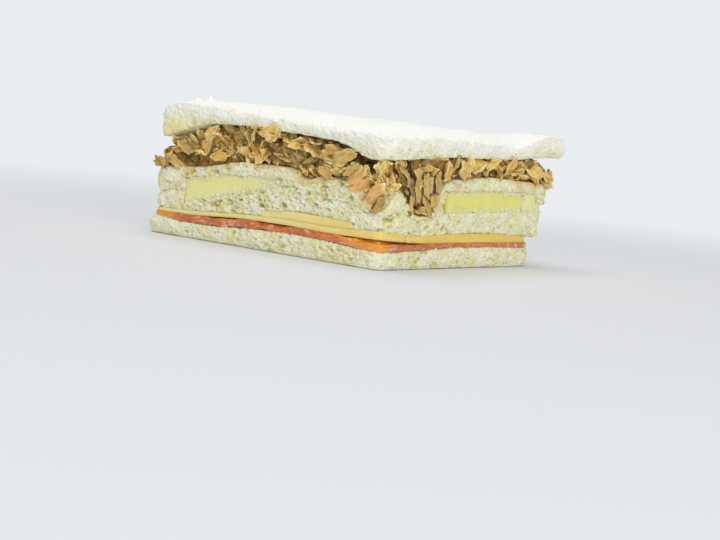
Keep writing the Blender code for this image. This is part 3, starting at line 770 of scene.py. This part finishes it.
def flake(draw, rows, columns, length, width, thick, curl):
    """One flake: a bent and crumpled leaf with ragged ends. Its points, and how near each is to the rim."""
    s = np.linspace(-1, 1, rows)[:, None] * np.ones(columns)
    t = np.ones(rows)[:, None] * np.linspace(-1, 1, columns)
    front = uneven(draw, columns, *RAGGED_ENDS)
    rear = uneven(draw, columns, *RAGGED_ENDS)
    x = s * np.where(s > 0, 1 + (front - 1) * s, 1 + (rear - 1) * -s) * length / 2
    round_off = 0.55 + 0.45 * np.sqrt(1 - np.abs(s) ** 2.6)
    left = uneven(draw, rows, *RAGGED_SIDES)[:, None]
    right = uneven(draw, rows, *RAGGED_SIDES)[:, None]
    y = t * round_off * np.where(t > 0, left, right) * width / 2
    y = y + draw.uniform(-0.2, 0.2) * x * x / length
    folds = 0 * s
    for strength in FOLDS:
        a, b, phase = draw.normal(0, 1.6 / strength), draw.normal(0, 1.6 / strength), draw.uniform(0, 6.3)
        folds = folds + np.sin(a * s * 0.7 + b * t * 0.7 + phase) * strength
    ridges = draw.uniform(-1, 1, columns) * thick * RIDGE_SHARE
    bend = draw.uniform(-0.25, 0.35)
    middle = folds * width * FOLD_SHARE + ridges - curl * y * y / width - bend * x * x / length
    middle = middle + draw.uniform(-0.1, 0.1, (rows, columns)) * thick
    body = np.sqrt(np.clip((1 - s**4) * (1 - t**4), 0, 1)) * thick / 2
    top = np.stack([x, y, middle + body], axis=-1)
    bottom = np.stack([x, y, middle - body], axis=-1)[1:-1, 1:-1]
    rim = np.maximum(np.abs(s) ** 3, np.abs(t) ** 3)
    rims = np.concatenate([rim.ravel(), rim[1:-1, 1:-1].ravel()])
    return np.concatenate([top.reshape(-1, 3), bottom.reshape(-1, 3)]), rims


def turned(points, yaw, pitch, roll):
    """Points turned about their own origin."""
    matrix = Matrix.Rotation(yaw, 3, "Z") @ Matrix.Rotation(pitch, 3, "Y") @ Matrix.Rotation(roll, 3, "X")
    return points @ np.array(matrix).T


def fibre_places(draw, points):
    """Places in millimetres for the fibres, which run along a flake, with a pattern of its own."""
    return np.stack([points[:, 1] / MM, points[:, 0] / MM, np.full(len(points), draw.uniform(0, 90))], axis=1)


def chunk(name, draw, grid, layers, length, width, thick, material):
    """A few flakes that lie on each other like leaves, as one hidden shape for scattering."""
    group = flake_faces(*grid)
    points, faces, rims, fibres, tones = [], [], [], [], []
    first = draw.uniform(0.05, 0.95)
    for k in range(layers):
        size = draw.uniform(0.75, 1.15)
        depth = draw.uniform(0.8, 1.25) * thick
        own, rim = flake(draw, *grid, length * size, width * size, depth, draw.uniform(-1.2, 1.2))
        fibre = fibre_places(draw, own)
        own = turned(own, draw.normal(0, 0.3), draw.normal(0, 0.16), draw.normal(0, 0.22))
        drift = draw.normal(0, 0.16, 2) * (length, width)
        own = own + np.array([*drift, (k - layers * 0.45) * thick * 0.8])
        faces.append(group + sum(len(p) for p in points))
        points.append(own)
        rims.append(rim)
        fibres.append(fibre)
        tones.append(np.full(len(own), np.clip(first + draw.normal(0, 0.2), 0, 1)))
    values = {"rim": rims, "fibre": fibres, "tone": tones}
    values = {key: np.concatenate(parts) for key, parts in values.items()}
    mesh = shaped(name, np.concatenate(points), np.concatenate(faces), material, **values)
    return bpy.data.objects.new(name, mesh)


class Graph:
    """A Geometry Nodes group that is built step by step."""

    def __init__(self, name):
        self.tree = bpy.data.node_groups.new(name, "GeometryNodeTree")
        self.inputs = {}
        self.socket("Surface", "Geometry", None)
        self.tree.interface.new_socket("Scattered", in_out="OUTPUT", socket_type="NodeSocketGeometry")
        self.start = self.tree.nodes.new("NodeGroupInput")
        self.end = self.tree.nodes.new("NodeGroupOutput")

    def socket(self, name, kind, value):
        """A named input of the group, with its usual value."""
        made = self.tree.interface.new_socket(name, in_out="INPUT", socket_type="NodeSocket" + kind)
        if value is not None:
            made.default_value = value
        self.inputs[name] = made.identifier

    def node(self, kind, links=None, output=0, **settings):
        """A node whose inputs are constants, outputs of other nodes, or named group inputs."""
        made = self.tree.nodes.new(kind)
        for key, value in settings.items():
            setattr(made, key, value)
        for key, value in (links or {}).items():
            if isinstance(value, bpy.types.NodeSocket):
                self.tree.links.new(value, made.inputs[key])
            elif isinstance(value, str) and value in self.inputs:
                self.tree.links.new(self.start.outputs[value], made.inputs[key])
            else:
                made.inputs[key].default_value = value
        return made.outputs[output]


# Named inputs for scattering, with their usual values
SCATTER_INPUTS = (
    ("Shapes", "Collection", None),
    ("Finish", "Material", None),
    ("Spacing", "Float", 1.0 * MM),
    ("Density", "Float", 1e6),
    ("Smallest", "Float", 0.7),
    ("Largest", "Float", 1.2),
    ("Tilt", "Float", 0.4),
    ("Turn", "Float", 0.9),
    ("Seed", "Int", 1),
    ("Mark", "String", "show"),
)


def scatter_graph():
    """Scatters shapes of a collection over the marked part of a surface, laid along it."""
    graph = Graph("scatter_on_food")
    for name, kind, value in SCATTER_INPUTS:
        graph.socket(name, kind, value)
    shown = graph.node("GeometryNodeInputNamedAttribute", {"Name": "Mark"}, data_type="FLOAT")
    spread = {"Mesh": "Surface", "Distance Min": "Spacing", "Density Max": "Density", "Seed": "Seed"}
    spread["Density Factor"] = shown
    points = graph.node("GeometryNodeDistributePointsOnFaces", spread, distribute_method="POISSON")
    normal = points.node.outputs["Normal"]
    lying = graph.node("FunctionNodeAlignRotationToVector", {"Vector": normal}, axis="Z")
    tangent = graph.node("ShaderNodeVectorMath", {0: normal, 1: (0, 0, 1)}, operation="CROSS_PRODUCT")
    aim = {"Rotation": lying, "Vector": tangent}
    level = graph.node("FunctionNodeAlignRotationToVector", aim, axis="X", pivot_axis="Z")
    less = graph.node("ShaderNodeMath", {0: "Tilt", 1: -1.0}, operation="MULTIPLY")
    left = graph.node("ShaderNodeMath", {0: "Turn", 1: -1.0}, operation="MULTIPLY")
    low = graph.node("ShaderNodeCombineXYZ", {0: less, 1: less, 2: left})
    high = graph.node("ShaderNodeCombineXYZ", {0: "Tilt", 1: "Tilt", 2: "Turn"})
    within = {"Min": low, "Max": high, "Seed": "Seed"}
    spin = graph.node("FunctionNodeRandomValue", within, data_type="FLOAT_VECTOR")
    turn = graph.node("FunctionNodeEulerToRotation", {0: spin})
    both = {"Rotation": level, "Rotate By": turn}
    final = graph.node("FunctionNodeRotateRotation", both, rotation_space="LOCAL")
    size = graph.node("FunctionNodeRandomValue", {2: "Smallest", 3: "Largest"}, 1, data_type="FLOAT")
    apart = {"Collection": "Shapes", "Separate Children": True, "Reset Children": True}
    shapes = graph.node("GeometryNodeCollectionInfo", apart)
    places = {"Points": points, "Instance": shapes, "Pick Instance": True, "Rotation": final, "Scale": size}
    placed = graph.node("GeometryNodeInstanceOnPoints", places)
    whole = graph.node("GeometryNodeRealizeInstances", {"Geometry": placed})
    done = graph.node("GeometryNodeSetMaterial", {"Geometry": whole, "Material": "Finish"})
    graph.tree.links.new(done, graph.end.inputs[0])
    return graph


def crumple(mesh, points, seed):
    """Crumples scattered tuna as a whole; what lies deep between the flakes is marked for painted shade."""
    points = warped(points, CRUMPLE_SIZE, CRUMPLE, seed)
    mesh.vertices.foreach_set("co", points.ravel())
    # Painted shade, darker deeper inside the tuna.
    depth = np.clip((inwards(points, "tuna") + 0.2 * MM) / (3 * MM), 0, 1)
    mesh.attributes.new("deep", "FLOAT", "POINT").data.foreach_set("value", depth**1.6 * 0.5)
    mesh.set_sharp_from_angle(angle=CREASE)


def scattered(graph, name, surface, shapes, material, slot, **settings):
    """Plain mesh of the shapes scattered over a surface."""
    group = bpy.data.collections.new(name + "_shapes")
    for shape in shapes:
        group.objects.link(shape)
    modifier = surface.modifiers.new("scatter", "NODES")
    modifier.node_group = graph.tree
    settings.update(Shapes=group, Finish=material)
    for key, value in settings.items():
        modifier[graph.inputs[key]] = value
    bpy.context.view_layer.update()
    seen = surface.evaluated_get(bpy.context.evaluated_depsgraph_get())
    mesh = bpy.data.meshes.new_from_object(seen)
    surface.modifiers.remove(modifier)
    for shape in shapes:
        bpy.data.objects.remove(shape)
    bpy.data.collections.remove(group)
    mesh.name = name
    if not mesh.materials:
        mesh.materials.append(material)
    points = np.empty(len(mesh.vertices) * 3)
    mesh.vertices.foreach_get("co", points)
    points = points.reshape(-1, 3)
    if slot == "tuna":
        crumple(mesh, points, settings["Seed"] * 10)
    else:
        points[:, 2] = np.maximum(points[:, 2], 0)
        mesh.vertices.foreach_set("co", points.ravel())
    mesh.update()
    finished(mesh)


# Chunks that hang out of the tuna: face, distance along it, height, how far out, length, width,
# thickness in millimetres, slope in degrees, how pink, and leaves
HANGING = (
    ("left", 9.2, 25.8, 0.9, 11.0, 5.6, 2.0, -50, 1.0, 1),
    ("left", 4.0, 21.8, 1.3, 10.5, 5.6, 2.2, -52, 1.0, 1),
    ("left", 8.0, 27.4, 0.5, 8.0, 3.6, 0.9, -44, 0.5, 2),
    ("left", 0.8, 19.8, 1.0, 7.5, 2.8, 0.8, -60, 0.4, 2),
    ("left", 12.4, 27.8, 0.2, 6.5, 4.2, 1.0, -20, 0.2, 2),
    ("right", 9.8, 27.6, 0.8, 8.5, 3.4, 0.8, -62, 0.0, 2),
    ("right", 14.6, 29.4, 0.5, 8.0, 3.2, 0.8, -60, 0.0, 2),
    ("right", 14.8, 23.4, 0.9, 9.5, 3.6, 0.8, -68, 0.0, 2),
    ("right", 13.4, 19.2, 0.6, 6.0, 2.4, 0.6, -76, 0.1, 2),
    ("right", 20.8, 26.0, 1.0, 9.5, 5.2, 1.0, -76, 0.2, 2),
    ("right", 24.6, 21.8, 0.9, 8.5, 4.6, 0.9, -86, 0.1, 2),
    ("right", 19.6, 21.0, 0.5, 8.0, 3.2, 0.8, -64, 0.2, 2),
    ("right", 21.6, 17.8, 1.0, 8.5, 2.8, 0.8, -12, 0.0, 2),
    ("right", 26.6, 28.0, 0.6, 8.5, 3.6, 0.8, -92, 0.0, 2),
    ("right", 6.6, 31.0, 0.4, 6.0, 3.0, 0.7, -40, 0.0, 2),
    ("left", 20.0, 33.0, 0.9, 8.0, 5.2, 1.0, 34, 0.0, 2),
    ("left", 16.4, 31.6, 1.0, 9.0, 4.8, 1.0, -14, 0.1, 2),
    ("left", 22.6, 28.0, 0.8, 7.0, 5.0, 1.2, 38, 0.3, 2),
    ("left", 47.4, 36.2, 0.3, 8.0, 3.6, 1.2, 4, 0.5, 2),
    ("right", 31.0, 31.6, 0.9, 7.0, 5.6, 1.8, 70, 0.2, 2),
    ("right", 40.4, 32.2, 0.9, 7.0, 6.0, 1.8, 80, 0.2, 2),
    ("right", 36.0, 32.8, 0.4, 7.0, 2.4, 0.6, 62, 0.0, 2),
    ("right", 69.3, 33.2, 0.5, 8.5, 4.0, 1.0, 85, 0.6, 2),
    ("right", 84.0, 33.2, 0.6, 10.0, 7.0, 2.0, -20, 0.1, 2),
    ("right", 93.5, 31.4, 0.4, 10.0, 7.0, 2.2, -34, 0.1, 2),
    ("left", 93.5, 23.6, 0.4, 9.0, 3.8, 1.0, 16, 0.0, 2),
    ("left", 87.0, 25.4, 0.3, 9.5, 4.0, 1.0, 10, 0.0, 2),
    ("left", 80.0, 29.0, 0.5, 9.0, 4.4, 1.0, 18, 0.0, 2),
)
# Grid of a hanging flake, and the curl of the inner and the outer leaf
FALL_GRID = (11, 9)
FALL_CURLS = (0.9, -0.6)


def falls(material):
    """Chunks of tuna that hang over the bread below."""
    draw = np.random.default_rng(31)
    group = flake_faces(*FALL_GRID)
    across = 1 / math.sqrt(2)
    up = Vector((0, 0, 1))
    points, faces, kept = [], [], {"rim": [], "fibre": [], "tone": [], "blush": [], "deep": []}
    for face, distance, height, out, length, width, thick, slope, pink, leaves in HANGING:
        hand = -1 if face == "left" else 1
        side = Vector((hand * across, across, 0))
        outward = Vector((hand * across, -across, 0))
        base = side * (distance * MM) - Vector((CORNER.x, CORNER.y, -height * MM)) + outward * (out * MM)
        for layer in range(leaves):
            size = draw.uniform(0.8, 1.05) * MM
            curl = FALL_CURLS[layer % 2]
            own, rim = flake(draw, *FALL_GRID, length * size, width * size, thick * MM, curl)
            fibre = fibre_places(draw, own)
            angle = math.radians(slope) + draw.normal(0, 0.16)
            own = turned(own, 0, draw.normal(0, 0.16), draw.normal(0, 0.2))
            aside = draw.normal(0, 0.12, 2) * (length * MM, width * MM) * (leaves > 1)
            own = own + np.array([*aside, (layer - 0.8) * thick * 0.7 * MM])
            ahead = side * math.cos(angle) + up * math.sin(angle)
            own = own @ np.array([ahead, outward.cross(ahead), outward]) + np.array(base)
            faces.append(group + sum(len(p) for p in points))
            points.append(own)
            tone = draw.uniform(0.2, 0.9)
            # Painted shade on the lower leaf and on chunks that hang low, with a random darkening on top.
            under = 0.5 * (layer < leaves - 1)
            falling = 0.12 * (height < 30 and pink < 0.5)
            deep = under + falling + draw.uniform(0, 0.3) * (pink < 0.5)
            kept["rim"].append(rim)
            kept["fibre"].append(fibre)
            for key, value in (("tone", tone), ("blush", pink), ("deep", deep)):
                kept[key].append(np.full(len(own), value))
    values = {key: np.concatenate(parts) for key, parts in kept.items()}
    points = warped(np.concatenate(points), CRUMPLE_SIZE, CRUMPLE, 5)
    mesh = shaped("tuna_falls", points, np.concatenate(faces), material, **values)
    finished(mesh)
    mesh.set_sharp_from_angle(angle=CREASE)


# Rag of crumb: radius, range of its unevenness, and how it is stretched and flattened
RAG_RADIUS = 0.42 * MM
RAG_RANGE = (0.6, 1.35)
RAG_STRETCH = 1.5
RAG_FLATNESS = 0.7


def crumb_shape(name, draw, material):
    """A small torn rag of crumb, as a hidden shape for scattering."""
    source = bmesh.new()
    bmesh.ops.create_icosphere(source, subdivisions=1, radius=RAG_RADIUS)
    for vert in source.verts:
        vert.co = vert.co * draw.uniform(*RAG_RANGE)
        vert.co.x *= RAG_STRETCH
        vert.co.z *= RAG_FLATNESS
    points, faces = arrays(source)
    return bpy.data.objects.new(name, shaped(name, points, faces, material))


# Stage: colour of the far floor and room, the round floor, and the two lamps with place, size and power
HAZE = (233, 237, 240)
FLOOR_RADIUS = 3
FLOOR_SIDES = 48
FLOOR_DROP = 0.0002
LAMPS = (
    ("lamp_above", (-0.1, 0.15, 0.95), 0.9, 4.9),
    ("lamp_front", (0.1, -1.1, 0.5), 0.9, 7.0),
)
LAMP_AIM = Vector((0, 0, 0.02))


def stage():
    """Pale seamless floor, soft light from above and weak light from the front."""
    paint = Paint("pale_floor", Roughness=0.9, Base_Color=linear(226, 228, 230))
    glow = paint.add("ShaderNodeEmission", 0, {"Color": linear(*HAZE), "Strength": 1.0})
    distance = paint.add("ShaderNodeVectorMath", "Value", {0: paint.object}, operation="LENGTH")
    share = paint.between(distance, 0.14, 0.5)
    mixed = paint.add("ShaderNodeMixShader", 0, {0: share, 2: glow})
    paint.tree.links.new(paint.shader.outputs[0], mixed.socket.node.inputs[1])
    paint.tree.links.new(mixed.socket, paint.tree.nodes["Material Output"].inputs[0])
    mesh = bpy.data.meshes.new("floor")
    turns = [2 * math.pi * k / FLOOR_SIDES for k in range(FLOOR_SIDES)]
    ring = [(FLOOR_RADIUS * math.cos(a), FLOOR_RADIUS * math.sin(a), -FLOOR_DROP) for a in turns]
    mesh.from_pydata(ring, [], [list(range(FLOOR_SIDES))])
    mesh.materials.append(paint.material)
    floor = bpy.data.objects.new("floor", mesh)
    bpy.context.scene.collection.objects.link(floor)

    world = bpy.data.worlds.new("soft_room")
    bpy.context.scene.world = world
    world.use_nodes = True
    tree = world.node_tree
    seen = tree.nodes["Background"]
    seen.inputs["Color"].default_value = linear(*HAZE)
    seen.inputs["Strength"].default_value = 1.0
    room = tree.nodes.new("ShaderNodeBackground")
    room.inputs["Color"].default_value = linear(244, 246, 250)
    room.inputs["Strength"].default_value = 0.42
    path = tree.nodes.new("ShaderNodeLightPath")
    pick = tree.nodes.new("ShaderNodeMixShader")
    tree.links.new(path.outputs["Is Camera Ray"], pick.inputs[0])
    tree.links.new(room.outputs[0], pick.inputs[1])
    tree.links.new(seen.outputs[0], pick.inputs[2])
    tree.links.new(pick.outputs[0], tree.nodes["World Output"].inputs[0])

    for name, spot, size, power in LAMPS:
        light = bpy.data.lights.new(name, "AREA")
        light.size = size
        light.energy = power
        made = bpy.data.objects.new(name, light)
        made.location = spot
        made.rotation_euler = (LAMP_AIM - Vector(spot)).to_track_quat("-Z", "Y").to_euler()
        bpy.context.scene.collection.objects.link(made)


# Camera: azimuth, elevation and roll in degrees, the point that it looks at and how far off it stands;
# focal length in pixels of the 720 pixel wide frame, and the pixels by which that point is off its middle
VIEW = (-8.62, 2.59, 5.84)
TARGET = Vector((-3.0 * MM, -5.57 * MM, 20 * MM))
VIEW_DISTANCE = 448.16 * MM
FOCAL = 1400
OFF_MIDDLE = (7.85, 73.45)


def camera():
    """Camera at the photograph's viewing angle: low, a little to the left and rolled."""
    azimuth, elevation, roll = (math.radians(a) for a in VIEW)
    flat = math.cos(elevation)
    back = Vector((math.sin(azimuth) * flat, -math.cos(azimuth) * flat, math.sin(elevation)))
    right = Vector((math.cos(azimuth), math.sin(azimuth), 0))
    up = back.cross(right)
    across = right * math.cos(roll) + up * math.sin(roll)
    rise = up * math.cos(roll) - right * math.sin(roll)
    facing = Matrix((across, rise, back)).transposed()
    seen = Vector((OFF_MIDDLE[0] / FOCAL, OFF_MIDDLE[1] / FOCAL, -1))
    facing = facing @ Vector((0, 0, -1)).rotation_difference(seen).to_matrix().inverted()
    data = bpy.data.cameras.new("camera")
    data.lens = 70
    data.sensor_width = 36
    data.clip_start = 0.01
    made = bpy.data.objects.new("camera", data)
    made.matrix_world = Matrix.Translation(TARGET + back * VIEW_DISTANCE) @ facing.to_4x4()
    bpy.context.scene.collection.objects.link(made)
    bpy.context.scene.camera = made


# Tone at places along the faces: minus the distance along the left one, the distance along the right one
HAM_TONES = (
    (-96, 1.3), (-89, 0.9), (-83, 0.1), (-30, 0.15), (-18, 0.3), (-11, 1.0), (0, 1.0), (9, 0.15), (90, 0.2),
)
CHEESE_TONES = ((-98, 0.05), (-60, 0.15), (-40, 0.3), (0, 0.6), (30, 0.95), (90, 1.0))

SLICES = ("bread_bottom", "bread_lower", "bread_upper", "bread_top")
RIPENESS = {"pineapple_left": 0.4, "pineapple_right": 0.9, "pineapple_end": 0.3}

# Scattered tuna: length, width and thickness of its shapes in millimetres, each made in three variants
BITS = ((5.8, 3.0, 0.6), (4.4, 2.4, 0.55), (6.8, 3.4, 0.7), (5.0, 2.2, 0.5), (6.2, 3.8, 0.7))
CHUNKS = ((11.0, 6.4, 0.9), (8.6, 5.0, 0.8), (9.6, 4.8, 0.9), (7.6, 4.8, 0.75), (11.5, 5.8, 1.0))
VARIANTS = 3

# Scattered crumb: ending of its name, what it lies on, the value that marks where, spacing, largest size
STREWN = (
    ("_rags", "_crumb", "show", 2.1, 1.3, SLICES),
    ("_seam", "_crumb", "seam", 1.0, 1.1, ("bread_lower", "bread_upper")),
    ("_shreds", "_flesh", "show", 0.85, 1.6, ("pineapple_left", "pineapple_right")),
)


def tuna_shapes(name, draw, grid, layers, sizes, material):
    """Hidden shapes of tuna for scattering."""
    return [
        chunk(f"{name}_{i}", draw, grid, layers, length * MM, width * MM, thick * MM, material)
        for i, (length, width, thick) in enumerate(sizes * VARIANTS)
    ]


def build():
    """All the pieces of the sandwich, from the lowest slice up, then what is scattered on them."""
    crumb = bread_material()
    for seed, node in enumerate(SLICES):
        bread(node, seed * 100 + 7, crumb)
    thin_slice("cured_ham", "cured_ham", ham_material(), ham_waves, HAM_TONES, 2)
    cheese = cheese_material()
    for node in ("cheese_left", "cheese_right", "cheese_middle"):
        thin_slice(node, "cheese", cheese, cheese_waves, CHEESE_TONES, 1)
    flesh = pineapple_material()
    for node, ripeness in RIPENESS.items():
        fruit(node, ripeness, flesh)
    core = tuna_core(tuna_core_material())
    leaf = flake_material()
    draw = np.random.default_rng(5)
    graph = scatter_graph()
    scattered(
        graph, "tuna_bits", core, tuna_shapes("bit", draw, (8, 6), 1, BITS, leaf), leaf, "tuna",
        Spacing=1.9 * MM, Smallest=0.6, Largest=1.15, Tilt=0.6, Turn=2.2, Seed=8,
    )
    scattered(
        graph, "tuna_flakes", core, tuna_shapes("chunk", draw, (11, 8), 2, CHUNKS, leaf), leaf, "tuna",
        Spacing=4.6 * MM, Smallest=0.6, Largest=1.05, Tilt=0.6, Turn=1.5, Seed=3,
    )
    falls(leaf)
    crumbs = [crumb_shape(f"bit_of_crumb_{i}", draw, crumb) for i in range(8)]
    seed = 20
    for ending, below, mark, spacing, largest, nodes in STREWN:
        for node in nodes:
            surface = bpy.data.objects[node + below]
            copies = [shape.copy() for shape in crumbs]
            scattered(
                graph, node + ending, surface, copies, crumb, "bread",
                Spacing=spacing * MM, Smallest=0.5, Largest=largest, Tilt=0.7, Turn=3.1, Seed=seed, Mark=mark,
            )
            seed += 1
    for shape in crumbs:
        bpy.data.objects.remove(shape)


build()
stage()
camera()
bpy.context.scene.view_settings.view_transform = "Standard"
